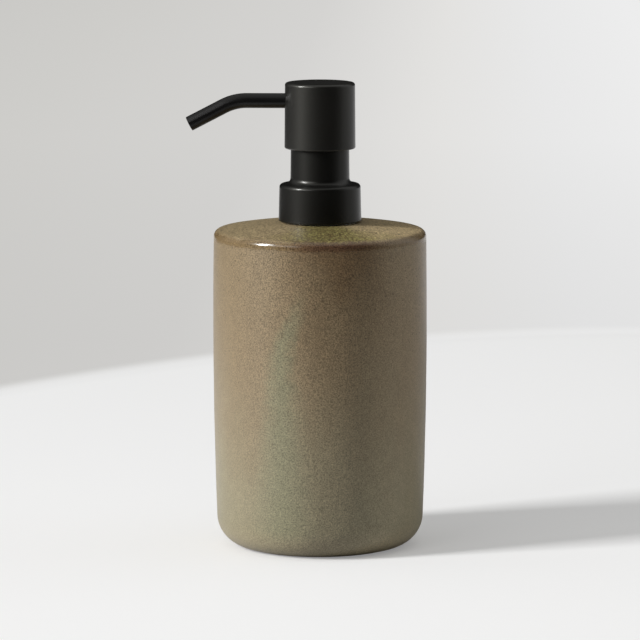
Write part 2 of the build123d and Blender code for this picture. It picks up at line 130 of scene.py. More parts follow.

# %% [markdown]
# ## Floor and room
# A studio table is pale and matt, so it throws light back up under the jar and still shows a clear
# shadow. Further back it sweeps up into a wall with a light of its own. Here one flat sheet is both:
# past a curved line behind the jar it simply glows at the tone the wall should have. The table ends
# a forearm's length in front of the jar: past that edge the sheet is painted dark for bounced light,
# standing in for the dark room, and this painted dark is what gives black plastic its deep core
# between two lit edges. Only light that bounces meets that edge. The camera sees a pale table
# everywhere.

# %% Floor: the sheet
floor_size = 14.0
floor_mesh = bpy.data.meshes.new("floor")
bm = bmesh.new()
bmesh.ops.create_grid(bm, x_segments=1, y_segments=1, size=floor_size / 2)
bm.to_mesh(floor_mesh)
bm.free()
floor = bpy.data.objects.new("floor", floor_mesh)
bpy.context.scene.collection.objects.link(floor)
print("floor reaches", floor_size / 2, "m")

# %% Floor: matt table paint
# Painted dark: in front of the jar, and on the far left, the sheet is painted dark for bounced light, a
# dark sheet standing in for the dark room.
table_front = -0.30  # the dark of the room starts here, in front of the jar
table_fade = 0.08  # and is full this much further on
table_left = -0.45  # on the far left it starts here
dark_left = -0.70  # and is full here
# A pale emulsion paint, as studio tables have: matt, with hardly any shine.
floor_paint, tree, shader = new_material("matt_table_paint")
surface = add(tree, "ShaderNodeTexCoord").outputs["Object"]
place = add(tree, "ShaderNodeSeparateXYZ", {"Vector": surface})
in_front = add(
    tree,
    "ShaderNodeMapRange",
    {"Value": place.outputs["Y"], "From Min": table_front, "From Max": table_front - table_fade},
)
far_left = add(
    tree,
    "ShaderNodeMapRange",
    {"Value": place.outputs["X"], "From Min": table_left, "From Max": dark_left},
)
painted_room_dark = add(
    tree, "ShaderNodeMath", {0: in_front.outputs[0], 1: far_left.outputs[0]}, operation="MAXIMUM"
)
# Painted shade: the table's colour for bounced light is darker away from the lamp, where the jar's
# shadow lies, which keeps the jar's shaded side deep.
lamp_side = add(
    tree, "ShaderNodeMapRange", {"Value": place.outputs["X"], "From Min": 0.0, "From Max": -0.1}
)
bounce_painted_shade = add(
    tree,
    "ShaderNodeMix",
    {0: lamp_side.outputs[0], 6: colour("#b4b4b4"), 7: colour("#eeeeee")},
    data_type="RGBA",
)
bounce_painted_tone = add(
    tree,
    "ShaderNodeMix",
    {0: painted_room_dark.outputs[0], 6: bounce_painted_shade.outputs[2], 7: colour("#282828")},
    data_type="RGBA",
)
# To the camera the table is a little whiter away from the lamp, so it looks evenly pale.
seen = add(tree, "ShaderNodeLightPath")
evenness = add(
    tree, "ShaderNodeMapRange", {"Value": place.outputs["X"], "From Min": -0.2, "From Max": 0.2}
)
pale = add(
    tree,
    "ShaderNodeMix",
    {0: evenness.outputs[0], 6: colour("#f7f7f7"), 7: colour("#ffffff")},
    data_type="RGBA",
)
table_tone = add(
    tree,
    "ShaderNodeMix",
    {0: seen.outputs["Is Camera Ray"], 6: bounce_painted_tone.outputs[2], 7: pale.outputs[2]},
    data_type="RGBA",
)
tree.links.new(table_tone.outputs[2], shader.inputs["Base Color"])
shader.inputs["Roughness"].default_value = 0.9
shader.inputs["Specular IOR Level"].default_value = 0.2
print("table: pale from", table_front, "m back, dark in front of that")

# %% Floor: the wall behind
# The wall is brightest on the right of the jar and falls off to both sides.
wall_reach = 1.4  # the ramp's colours lie between this far left and this far right
across = add(
    tree,
    "ShaderNodeMapRange",
    {"Value": place.outputs["X"], "From Min": -wall_reach, "From Max": wall_reach},
)
wall_tone = add(tree, "ShaderNodeValToRGB", {"Fac": across.outputs[0]})
stops = wall_tone.color_ramp.elements
stops[0].color = colour("#b0afad")
stops[1].color = colour("#a8a8a8")
wall_tones = {-0.30: "#cecdca", -0.10: "#d4d3d1", 0.03: "#e3e2e0", 0.12: "#e8e8e8", 0.22: "#ededed"}
for x, code in wall_tones.items():
    stops.new((x + wall_reach) / (2 * wall_reach)).color = colour(code)
# The wall's foot runs in a slow curve behind the jar, further away on the right: it lies where
# y + (bend * x + lean) * x reaches foot_start, and it takes a little way to turn up.
bend = 2.0
lean = -0.614
foot_start = 0.515
foot_end = 0.575
near_axis = add(
    tree, "ShaderNodeClamp", {"Value": place.outputs["X"], "Min": -0.2, "Max": 0.15}
)
curve = add(
    tree,
    "ShaderNodeMath",
    {0: near_axis.outputs[0], 1: bend, 2: lean},
    operation="MULTIPLY_ADD",
)
behind_foot = add(
    tree,
    "ShaderNodeMath",
    {0: near_axis.outputs[0], 1: curve.outputs[0], 2: place.outputs["Y"]},
    operation="MULTIPLY_ADD",
)
past_table = add(
    tree,
    "ShaderNodeMapRange",
    {"Value": behind_foot.outputs[0], "From Min": foot_start, "From Max": foot_end},
    interpolation_type="SMOOTHSTEP",
)
# Painted shade: near its foot the wall glows a little darker than higher up.
up_the_wall = add(
    tree,
    "ShaderNodeMapRange",
    {"Value": place.outputs["Y"], "From Min": 0.55, "From Max": 1.6, "To Min": 0.93, "To Max": 1.0},
)
wall_shade = add(
    tree,
    "ShaderNodeVectorMath",
    {0: wall_tone.outputs[0], "Scale": up_the_wall.outputs[0]},
    operation="SCALE",
)
glow_tone = add(
    tree,
    "ShaderNodeMix",
    {0: past_table.outputs[0], 6: colour("#ffffff"), 7: wall_shade.outputs[0]},
    data_type="RGBA",
)
glow = add(tree, "ShaderNodeEmission", {"Color": glow_tone.outputs[2], "Strength": 1.0})
print("wall tones:", len(stops))

# %% Floor: who sees the glow
# The camera sees the wall's glow, and so do shiny and clear parts. It adds no light to matt ones.
table_glow_share = 0.24
in_mirror = add(
    tree,
    "ShaderNodeMath",
    {0: seen.outputs["Is Glossy Ray"], 1: seen.outputs["Is Transmission Ray"]},
    operation="MAXIMUM",
)
out_of_dark = add(tree, "ShaderNodeMath", {0: 1.0, 1: painted_room_dark.outputs[0]}, operation="SUBTRACT")
mirrored = add(
    tree,
    "ShaderNodeMath",
    {0: in_mirror.outputs[0], 1: out_of_dark.outputs[0]},
    operation="MULTIPLY",
)
shown = add(
    tree,
    "ShaderNodeMath",
    {0: seen.outputs["Is Camera Ray"], 1: mirrored.outputs[0]},
    operation="MAXIMUM",
)
wall_shown = add(
    tree, "ShaderNodeMath", {0: shown.outputs[0], 1: past_table.outputs[0]}, operation="MULTIPLY"
)
# To the camera the table itself glows a little too, which keeps the shadow on it light.
table_glow = add(
    tree,
    "ShaderNodeMath",
    {0: seen.outputs["Is Camera Ray"], 1: table_glow_share},
    operation="MULTIPLY",
)
glow_share = add(
    tree, "ShaderNodeMath", {0: wall_shown.outputs[0], 1: table_glow.outputs[0]}, operation="MAXIMUM"
)
table_or_wall = add(
    tree,
    "ShaderNodeMixShader",
    {0: glow_share.outputs[0], 1: shader.outputs["BSDF"], 2: glow.outputs[0]},
)
output = next(node for node in tree.nodes if node.type == "OUTPUT_MATERIAL")
tree.links.new(table_or_wall.outputs[0], output.inputs["Surface"])
floor_mesh.materials.append(floor_paint)
print("floor paint nodes:", len(tree.nodes))

# %% Room
# Pale overhead and on the right, softer on the left, dark in front and straight behind. Matt and
# shiny parts both meet this room. Past the edge of the floor the camera meets a pale wall, from
# whichever side it looks.
dark = "#303030"
world = bpy.data.worlds.new("room")
bpy.context.scene.world = world
world.use_nodes = True
tree = world.node_tree
tree.nodes.clear()
outwards = add(tree, "ShaderNodeTexCoord").outputs["Generated"]
direction = add(tree, "ShaderNodeSeparateXYZ", {"Vector": outwards})
rightwards = add(
    tree, "ShaderNodeMapRange", {"Value": direction.outputs["X"], "From Min": -0.3, "From Max": 0.6}
)
left_or_right = add(
    tree,
    "ShaderNodeMix",
    {0: rightwards.outputs[0], 6: colour("#8c8c8c"), 7: colour("#c6c6c6")},
    data_type="RGBA",
)
forwards = add(
    tree, "ShaderNodeMapRange", {"Value": direction.outputs["Y"], "From Min": -1.0, "From Max": 1.0}
)
lit_part = add(tree, "ShaderNodeValToRGB", {"Fac": forwards.outputs[0]})
stops = lit_part.color_ramp.elements
stops[0].color = colour(dark)
stops[1].color = colour(dark)
for y, code in {-0.55: dark, 0.0: "#ffffff", 0.45: "#ffffff", 0.8: dark}.items():
    stops.new((y + 1) / 2).color = colour(code)
sides = add(
    tree,
    "ShaderNodeVectorMath",
    {0: left_or_right.outputs[2], 1: lit_part.outputs[0]},
    operation="MULTIPLY",
)
overhead = add(
    tree,
    "ShaderNodeMapRange",
    {"Value": direction.outputs["Z"], "From Min": 0.55, "From Max": 0.95},
    interpolation_type="SMOOTHSTEP",
)
room_tone = add(
    tree,
    "ShaderNodeMix",
    {0: overhead.outputs[0], 6: sides.outputs[0], 7: colour("#c0c0be")},
    data_type="RGBA",
)
seen = add(tree, "ShaderNodeLightPath")
room_seen = add(
    tree,
    "ShaderNodeMix",
    {0: seen.outputs["Is Camera Ray"], 6: room_tone.outputs[2], 7: colour("#dedddb")},
    data_type="RGBA",
)
background = add(tree, "ShaderNodeBackground", {"Color": room_seen.outputs[2], "Strength": 1.0})
add(tree, "ShaderNodeOutputWorld", {"Surface": background.outputs[0]})
print("room tones from front to back:", len(stops))

# %% [markdown]
# ## Lamps
# One tall lamp stands far off to the left and a little in front, like a window. It is a third of the
# way up, so it draws a short bright line on the jar's shoulder and a long shadow on the table. Its size
# sets how soft the shadow's edge is. A wide weak lamp in front on the same side lets the bright line
# fade out to the right instead of stopping. Both are far away, so the table is lit evenly.

# %% Lamps
lamp_target = Vector((0.0, 0.0, 0.09))  # the middle of the dispenser


def lamp(name, azimuth, elevation, distance, width, height, power):
    """A soft lamp that looks at the dispenser. Azimuth 0 is in front, 90 on the left."""
    data = bpy.data.lights.new(name, "AREA")
    data.shape = "RECTANGLE"
    data.size = width
    data.size_y = height
    data.energy = power
    made = bpy.data.objects.new(name, data)
    level = cos(radians(elevation))
    offset = Vector(
        (
            -sin(radians(azimuth)) * level,
            -cos(radians(azimuth)) * level,
            sin(radians(elevation)),
        )
    )
    made.location = lamp_target + offset * distance
    made.rotation_euler = (-offset).to_track_quat("-Z", "Y").to_euler()
    bpy.context.scene.collection.objects.link(made)
    return made


window = lamp("window", azimuth=66, elevation=27, distance=5.0, width=1.0, height=2.0, power=275.0)
sky = lamp("sky", azimuth=38, elevation=25, distance=5.0, width=2.6, height=1.6, power=26.0)
for made in (window, sky):
    print(made.name, "lamp at", [round(c, 2) for c in made.location])

# %% [markdown]
# ## Turning on a wheel
# A jar is a turned shape: half of its outline, swept once round the axis. In Blender that is the spin
# operator. The outline starts as a few corners. A corner that a potter would soften gets a bevel on
# its vertex, which leaves a true arc between the two straight runs.

# %% Helpers for new pieces
same_place = 0.001 * mm  # vertices closer than this are one
sharp_angle = radians(35.0)  # an edge is shaded as sharp from this angle on


def finish_piece(name, bm):
    """Cleans and shades a bmesh, counts its open edges, and makes it an object at the origin."""
    bmesh.ops.remove_doubles(bm, verts=bm.verts, dist=same_place)
    bmesh.ops.dissolve_degenerate(bm, edges=bm.edges, dist=same_place)
    bmesh.ops.recalc_face_normals(bm, faces=bm.faces)
    for face in bm.faces:
        face.smooth = True
    for edge in bm.edges:
        edge.smooth = edge.calc_face_angle(0.0) < sharp_angle
    open_edges = sum(1 for edge in bm.edges if not edge.is_manifold)
    mesh = bpy.data.meshes.new(name)
    bm.to_mesh(mesh)
    bm.free()
    piece = bpy.data.objects.new(name, mesh)
    bpy.context.scene.collection.objects.link(piece)
    print(name, "faces:", len(mesh.polygons), " open edges:", open_edges)
    return piece


def turn(corners, steps, round_steps):
    """A bmesh spun about z from corners (radius, height); a third number rounds that corner."""
    bm = bmesh.new()
    verts = [bm.verts.new((corner[0], 0.0, corner[1])) for corner in corners]
    for a, b in zip(verts, verts[1:]):
        bm.edges.new((a, b))
    for corner, vert in zip(corners, verts):
        if len(corner) > 2:
            arms = [edge.other_vert(vert).co - vert.co for edge in vert.link_edges]
            half_angle = arms[0].angle(arms[1]) / 2
            bmesh.ops.bevel(
                bm,
                geom=[vert],
                affect="VERTICES",
                offset=corner[2] / tan(half_angle),
                offset_type="OFFSET",
                segments=round_steps,
                profile=0.5,
                material=-1,
            )
    bmesh.ops.spin(
        bm,
        geom=bm.verts[:] + bm.edges[:],
        cent=(0, 0, 0),
        axis=(0, 0, 1),
        dvec=(0, 0, 0),
        angle=2 * pi,
        steps=steps,
        use_merge=True,
        use_duplicate=False,
    )
    return bm


print("helpers: turn an outline, finish a piece")

# %% [markdown]
# ## The jar
# The real jar is cast or thrown in stoneware clay, dried, dipped in glaze and fired. The foot is wiped
# clean before firing, or the melted glaze would stick it to the kiln shelf. So the jar has a coat that
# ends in a soft rolled edge just above the table, with bare clay under it. The coat is never
# perfectly even: it is a hair thicker here and thinner there, and this is what makes its shine waver.
# The outline is spun, and the coat's unevenness is a small push on the wall's vertices.

# %% Jar: outline
jar_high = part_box("bottle")[1]
neck_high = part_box("neck_insert")[1]
belly_radius = jar_high.x
belly_height = 89.0 * mm
bow = 1.4 * mm  # how much narrower the wall is at the foot curve
foot_curve_height = 11.8 * mm
foot_curve_width = 10.0 * mm
shoulder_height = 127.4 * mm
shoulder_round = 2.8 * mm
crown_rise = 3.9 * mm
wall = 5.0 * mm
floor_thickness = 6.0 * mm
top_wall = 5.5 * mm
inner_round = 6.0 * mm
foot_ring_width = 4.2 * mm
foot_recess = 1.5 * mm
coat = 0.35 * mm  # thickness of the glaze
coat_end = 1.0 * mm  # bare clay below this height
coat_roll = 0.2 * mm  # height of the coat's rolled lower edge
ring_inner_round = 0.5 * mm
ring_outer_round = 0.4 * mm
mouth_round = 0.3 * mm
ceiling_round = 0.8 * mm
land_margin = 1.0 * mm  # the ground flat on the top, outside the neck's flange

wall_chord = belly_height - foot_curve_height
wall_arc = (wall_chord**2 + bow**2) / (2 * bow)
low_radius = belly_radius - bow
foot_radius = low_radius - foot_curve_width


def wall_radius(z):
    """The jar's outer radius at height z."""
    return belly_radius - wall_arc + sqrt(wall_arc**2 - (z - belly_height) ** 2)


shoulder_radius = wall_radius(shoulder_height)
crown_arc = (shoulder_radius**2 + crown_rise**2) / (2 * crown_rise)


def top_height(r):
    """The height of the domed top at radius r."""
    return shoulder_height + crown_rise - crown_arc + sqrt(crown_arc**2 - r**2)


print("shoulder radius:", round(shoulder_radius / mm, 2), "mm")

# %% Jar: body
mouth_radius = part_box("mouth_sealant")[1].x
land_radius = neck_high.x + land_margin
land_height = jar_high.z
wall_steps = 26
crown_steps = 10
foot_steps = 12
ceiling_steps = 5
inside_steps = 8


def foot_arc(steps):
    """Points on the foot curve from the foot ring up to the wall, leaving the wall smoothly."""
    lean = asin(wall_chord / wall_arc)
    tangent = Vector((-sin(lean), -cos(lean)))
    inwards = Vector((tangent.y, -tangent.x))
    chord = Vector((foot_radius - low_radius, -foot_curve_height))
    radius = chord.length_squared / (2 * chord.dot(inwards))
    centre = Vector((low_radius, foot_curve_height)) + inwards * radius
    start = Vector((foot_radius, 0.0)) - centre
    end = Vector((low_radius, foot_curve_height)) - centre
    sweep = start.angle_signed(end)
    points = []
    for i in range(steps + 1):
        turned = start.copy()
        turned.rotate(Matrix.Rotation(-sweep * i / steps, 2))
        points.append(centre + turned)
    return points


def jar_corners():
    """The jar's half outline, from the middle of its underside round to the inside floor."""
    ring_inner = foot_radius - foot_ring_width
    foot = foot_arc(foot_steps)
    bare = [p for p in foot if p.y < coat_end]
    glazed = [p for p in foot if p.y >= coat_end]
    corners = [(0.0, foot_recess), (ring_inner - coat, foot_recess)]
    corners += [(ring_inner, foot_recess), (ring_inner, 0.0, ring_inner_round)]
    corners += [(foot_radius - coat, 0.0, ring_outer_round)]
    corners += [(bare[-1].x - coat / 2, coat_end - coat_roll)]
    corners += [(p.x, p.y) for p in glazed]
    rise = shoulder_height - foot_curve_height
    for i in range(1, wall_steps):
        z = foot_curve_height + rise * i / wall_steps
        corners.append((wall_radius(z), z))
    corners.append((shoulder_radius, shoulder_height, shoulder_round))
    for i in range(1, crown_steps + 1):
        r = shoulder_radius + (land_radius - shoulder_radius) * i / crown_steps
        corners.append((r, top_height(r)))
    corners += [(land_radius, land_height), (mouth_radius, land_height, mouth_round)]
    corners.append((mouth_radius, top_height(mouth_radius) - top_wall, ceiling_round))
    inside_top = top_height(shoulder_radius - wall) - top_wall
    inside_radius = wall_radius(inside_top) - wall
    for i in range(1, ceiling_steps):
        r = mouth_radius + (inside_radius - mouth_radius) * i / ceiling_steps
        corners.append((r, top_height(r) - top_wall))
    corners.append((inside_radius, inside_top, inner_round))
    for i in range(1, inside_steps):
        z = inside_top + (floor_thickness - inside_top) * i / inside_steps
        corners.append((wall_radius(z) - wall, z))
    corners.append((wall_radius(floor_thickness) - wall, floor_thickness, inner_round))
    corners.append((0.0, floor_thickness))
    return corners


jar_bm = turn(jar_corners(), steps=160, round_steps=7)
print("jar outline corners:", len(jar_corners()))

# %% Jar: the coat's unevenness
waver = 0.12 * mm  # the deepest dip in the coat
waver_size = 16.0 * mm  # from one dip to the next
waver_low = foot_curve_height / 2  # the wall is uneven from here up to the shoulder
fade_low = 8.0 * mm  # and the dips fade out over this much at the foot
fade_high = 4.0 * mm  # and over this much at the shoulder
for vert in jar_bm.verts:
    radius = vert.co.xy.length
    height = vert.co.z
    if radius > shoulder_radius - wall / 2 and waver_low < height < shoulder_height:
        dip = 0.5 + 0.5 * noise.noise(vert.co / waver_size)
        fade = min(1.0, (shoulder_height - height) / fade_high, (height - waver_low) / fade_low)
        vert.co.xy *= 1 - waver * dip * fade / radius
jar = finish_piece("glazed_jar", jar_bm)
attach(jar, "bottle_body")
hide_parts("bottle")

# %% [markdown]
# ## Stoneware glaze
# The glaze is a reactive one: iron and ash in the melt separate as it cools, so one coat shows warm
# khaki, a greener grey where it ran thicker, and rust brown where it drew thin over an edge. Specks
# of iron from the clay burn through it all over. It is glass with fine crystals in it, so it is
# satin: a lamp shows as a line on the tight round of the shoulder and only as a glow on the wall.

# %% Glaze: noises
run_size = 22 * mm
cloud_size = 5 * mm
grain_size = 0.5 * mm
fleck_size = 0.9 * mm
# Satin reactive stoneware glaze over iron-bearing clay, with the clay bare at the foot.
glaze, tree, shader = new_material("reactive_stoneware_glaze")
surface = add(tree, "ShaderNodeTexCoord").outputs["Object"]
place = add(tree, "ShaderNodeSeparateXYZ", {"Vector": surface})
# Runs of glaze are 22 mm wide and about twice as tall, because it flows down in the kiln.
flow = add(tree, "ShaderNodeMapping", {"Vector": surface, "Scale": (1.0, 1.0, 0.45)})
runs = add(
    tree,
    "ShaderNodeTexNoise",
    {"Vector": flow.outputs[0], "Scale": 1 / run_size, "Detail": 4.0, "Roughness": 0.55},
)
# Clouds of fine crystals, about 5 mm across.
clouds = add(
    tree,
    "ShaderNodeTexNoise",
    {"Vector": surface, "Scale": 1 / cloud_size, "Detail": 5.0, "Roughness": 0.65},
)
# Grain of the glaze. The real one is about 0.3 mm. It is drawn at 0.5 mm so that it shows.
grain = add(
    tree,
    "ShaderNodeTexNoise",
    {"Vector": surface, "Scale": 1 / grain_size, "Detail": 1.0, "Roughness": 0.5},
)
# On the top, where it is seen at a slant, the grain gathers into flecks of about 0.9 mm.
flecks = add(
    tree,
    "ShaderNodeTexNoise",
    {"Vector": surface, "Scale": 1 / fleck_size, "Detail": 1.0, "Roughness": 0.5},
)
noise_sizes = (run_size, cloud_size, grain_size, fleck_size)
print("noises in mm:", [round(size / mm, 1) for size in noise_sizes])

# %% Glaze: colour down the wall
# The coat is warm at the top, greener and greyer where it has run down and is thicker. The runs make
# each border ragged: they add up to 60 mm to the height, and 30 mm on average.
run_wander = 60 * mm
ragged_height = add(
    tree,
    "ShaderNodeMath",
    {0: runs.outputs["Fac"], 1: run_wander, 2: place.outputs["Z"]},
    operation="MULTIPLY_ADD",
)
low_down = add(
    tree,
    "ShaderNodeMapRange",
    {"Value": ragged_height.outputs[0], "From Min": 122 * mm, "From Max": 40 * mm},
    interpolation_type="SMOOTHSTEP",
)
khaki = add(
    tree,
    "ShaderNodeMix",
    {0: low_down.outputs[0], 6: colour("#8e7c60"), 7: colour("#92896e")},
    data_type="RGBA",
)
# In front, right of the middle, it stayed thin and brown near the top. Angles are 0 in front and
# grow to the right.
brown_middle = radians(11.0)
forward = add(tree, "ShaderNodeMath", {0: place.outputs["Y"], 1: -1.0}, operation="MULTIPLY")
azimuth = add(
    tree, "ShaderNodeMath", {0: place.outputs["X"], 1: forward.outputs[0]}, operation="ARCTAN2"
)
azimuth_from_front = add(tree, "ShaderNodeMath", {0: azimuth.outputs[0]}, operation="ABSOLUTE")
brown_side = add(
    tree, "ShaderNodeMath", {0: azimuth.outputs[0], 1: brown_middle}, operation="SUBTRACT"
)
brown_away = add(tree, "ShaderNodeMath", {0: brown_side.outputs[0]}, operation="ABSOLUTE")
brown_across = add(
    tree,
    "ShaderNodeMapRange",
    {"Value": brown_away.outputs[0], "From Min": radians(38.0), "From Max": radians(8.0)},
    interpolation_type="SMOOTHSTEP",
)
brown_down = add(
    tree,
    "ShaderNodeMapRange",
    {"Value": ragged_height.outputs[0], "From Min": 112 * mm, "From Max": 158 * mm,
     "To Min": 0.0, "To Max": 0.6},
    interpolation_type="SMOOTHSTEP",
)
brown = add(
    tree, "ShaderNodeMath", {0: brown_across.outputs[0], 1: brown_down.outputs[0]}, operation="MULTIPLY"
)
warmed = add(
    tree,
    "ShaderNodeMix",
    {0: brown.outputs[0], 6: khaki.outputs[2], 7: colour("#66492a")},
    data_type="RGBA",
)
print("wall: khaki, greener below, browner at the top of the front")

# %% Glaze: the run of thicker glaze down the front
# It starts high, drifts left as it falls, and widens towards the foot. The clouds make its edge
# ragged: they push it up to 7 degrees either way.
run_top = 112 * mm
raggedness = radians(14.0)
run_centre = add(
    tree,
    "ShaderNodeMapRange",
    {"Value": place.outputs["Z"], "From Min": 108 * mm, "From Max": 82 * mm,
     "To Min": radians(-8.0), "To Max": radians(-19.0)},
    interpolation_type="SMOOTHSTEP",
)
run_width = add(
    tree,
    "ShaderNodeMapRange",
    {"Value": place.outputs["Z"], "From Min": 100 * mm, "From Max": 12 * mm,
     "To Min": radians(6.0), "To Max": radians(26.0)},
)
run_off = add(
    tree, "ShaderNodeMath", {0: azimuth.outputs[0], 1: run_centre.outputs[0]}, operation="SUBTRACT"
)
run_ragged = add(
    tree,
    "ShaderNodeMath",
    {0: clouds.outputs["Fac"], 1: raggedness, 2: run_off.outputs[0]},
    operation="MULTIPLY_ADD",
)
run_away = add(
    tree, "ShaderNodeMath", {0: run_ragged.outputs[0], 1: raggedness / 2}, operation="SUBTRACT"
)
run_distance = add(tree, "ShaderNodeMath", {0: run_away.outputs[0]}, operation="ABSOLUTE")
run_across = add(
    tree,
    "ShaderNodeMapRange",
    {"Value": run_distance.outputs[0], "From Min": run_width.outputs[0], "From Max": 0.0},
    interpolation_type="SMOOTHSTEP",
)
run_down = add(
    tree,
    "ShaderNodeMapRange",
    {"Value": place.outputs["Z"], "From Min": run_top, "From Max": 88 * mm,
     "To Min": 0.0, "To Max": 0.8},
    interpolation_type="SMOOTHSTEP",
)
run = add(
    tree, "ShaderNodeMath", {0: run_across.outputs[0], 1: run_down.outputs[0]}, operation="MULTIPLY"
)
streaked = add(
    tree,
    "ShaderNodeMix",
    {0: run.outputs[0], 6: warmed.outputs[2], 7: colour("#878468")},
    data_type="RGBA",
)
print("run: from", round(run_top / mm), "mm down")

# %% Glaze: the flat of the top
# Flat on the top the coat is painted pale, as painted light: the top faces up into the light. In front
# is a darker patch with green flecks: the flecks are the glaze's own, and the darkness is partly
# painted reflection of the black collar. The patch lies over the brown of the wall. The runs push its
# edge up to 80 degrees round, and 40 on average, and the clouds add up to 2.4 mm to the height of what
# follows.
azimuth_wander = radians(80.0)
edge_wander = 2.4 * mm
edge_height = add(
    tree,
    "ShaderNodeMath",
    {0: clouds.outputs["Fac"], 1: edge_wander, 2: place.outputs["Z"]},
    operation="MULTIPLY_ADD",
)
at_top = add(
    tree,
    "ShaderNodeMapRange",
    {"Value": edge_height.outputs[0], "From Min": 127.5 * mm, "From Max": 129.5 * mm},
    interpolation_type="SMOOTHSTEP",
)
ragged_azimuth = add(
    tree,
    "ShaderNodeMath",
    {0: runs.outputs["Fac"], 1: azimuth_wander, 2: brown_away.outputs[0]},
    operation="MULTIPLY_ADD",
)
fleck_and_reflection_patch = add(
    tree,
    "ShaderNodeMapRange",
    {"Value": ragged_azimuth.outputs[0], "From Min": radians(84.0), "From Max": radians(48.0)},
    interpolation_type="SMOOTHSTEP",
)
green_fleck = add(
    tree,
    "ShaderNodeMapRange",
    {"Value": flecks.outputs["Fac"], "From Min": 0.47, "From Max": 0.6},
)
# Both tones of the patch are darker than the top's: painted reflection of the black collar, with the
# glaze's own green flecks.
flecks_and_painted_reflection = add(
    tree,
    "ShaderNodeMix",
    {0: green_fleck.outputs[0], 6: colour("#72623a"), 7: colour("#88814d")},
    data_type="RGBA",
)
# The top's pale tone is painted light.
top_tone = add(
    tree,
    "ShaderNodeMix",
    {0: fleck_and_reflection_patch.outputs[0], 6: colour("#9d8b69"), 7: flecks_and_painted_reflection.outputs[2]},
    data_type="RGBA",
)
topped = add(
    tree,
    "ShaderNodeMix",
    {0: at_top.outputs[0], 6: streaked.outputs[2], 7: top_tone.outputs[2]},
    data_type="RGBA",
)
print("top: pale, with a green-flecked patch in front")

# %% Glaze: thin over the shoulder, painted light at the foot
# Over the shoulder's edge the melt pulls away and shows the clay's iron: a dark band, rust at the
# sides. In front the band is darker and purple brown, partly painted reflection of dark surroundings in
# the shoulder's round. The foot's curve is painted paler, as painted light: it faces down and gets
# little light.
band_height = 126.8 * mm
band_half_width = 2.6 * mm
from_band = add(
    tree, "ShaderNodeMath", {0: edge_height.outputs[0], 1: band_height}, operation="SUBTRACT"
)
band_distance = add(tree, "ShaderNodeMath", {0: from_band.outputs[0]}, operation="ABSOLUTE")
band = add(
    tree,
    "ShaderNodeMapRange",
    {"Value": band_distance.outputs[0], "From Min": band_half_width, "From Max": 0.4 * mm,
     "To Min": 0.0, "To Max": 0.8},
    interpolation_type="SMOOTHSTEP",
)
# Rust at the sides; the darker front tone is partly painted reflection.
band_rust_and_reflection_tone = add(
    tree,
    "ShaderNodeMix",
    {0: brown_across.outputs[0], 6: colour("#7a6545"), 7: colour("#583e30")},
    data_type="RGBA",
)
banded = add(
    tree,
    "ShaderNodeMix",
    {0: band.outputs[0], 6: topped.outputs[2], 7: band_rust_and_reflection_tone.outputs[2]},
    data_type="RGBA",
)
# Painted light: the foot's curve is painted paler where it faces down.
foot_painted_light = add(
    tree,
    "ShaderNodeMapRange",
    {"Value": edge_height.outputs[0], "From Min": 14.0 * mm, "From Max": 5.0 * mm,
     "To Min": 0.0, "To Max": 0.8},
    interpolation_type="SMOOTHSTEP",
)
break_and_painted_light = add(
    tree,
    "ShaderNodeMix",
    {0: foot_painted_light.outputs[0], 6: banded.outputs[2], 7: colour("#a89c80")},
    data_type="RGBA",
)
print("dark band:", round(2 * band_half_width / mm, 1), "mm wide, pale curve at the foot")

# %% Glaze: painted light and shade round the jar
# Painted light and shade: the coat is painted a little paler on the right than on the left, for light
# from the right, and painted darker right of the middle, where the front gets little light.
side_painted_light = add(
    tree,
    "ShaderNodeMapRange",
    {"Value": place.outputs["X"], "From Min": -5 * mm, "From Max": 43 * mm,
     "To Min": 0.93, "To Max": 1.5},
    interpolation_type="SMOOTHSTEP",
)
# Painted shade right of the middle.
front_painted_shade = add(
    tree,
    "ShaderNodeMapRange",
    {"Value": brown_away.outputs[0], "From Min": radians(30.0), "From Max": radians(6.0),
     "To Min": 1.0, "To Max": 0.85},
    interpolation_type="SMOOTHSTEP",
)
cloud_tone = add(
    tree,
    "ShaderNodeMapRange",
    {"Value": clouds.outputs["Fac"], "From Min": 0.3, "From Max": 0.7, "To Min": 0.93, "To Max": 1.07},
)
around_painted_light = add(
    tree, "ShaderNodeMath", {0: front_painted_shade.outputs[0], 1: side_painted_light.outputs[0]}, operation="MULTIPLY"
)
clouds_and_painted_light = add(
    tree, "ShaderNodeMath", {0: cloud_tone.outputs[0], 1: around_painted_light.outputs[0]}, operation="MULTIPLY"
)
print("tone: paler on the right, darker right of the middle")

# %% Glaze: grain
# The grain is strongest on the top and down the front.
grain_strength = add(
    tree,
    "ShaderNodeMapRange",
    {"Value": azimuth_from_front.outputs[0], "From Min": radians(60.0), "From Max": radians(10.0),
     "To Min": 1.1, "To Max": 2.0},
    interpolation_type="SMOOTHSTEP",
)
grain_by_height = add(
    tree,
    "ShaderNodeMapRange",
    {"Value": place.outputs["Z"], "From Min": 60 * mm, "From Max": 118 * mm,
     "To Min": 0.9, "To Max": 1.3},
)
grain_depth = add(
    tree,
    "ShaderNodeMath",
    {0: grain_strength.outputs[0], 1: grain_by_height.outputs[0]},
    operation="MULTIPLY",
)
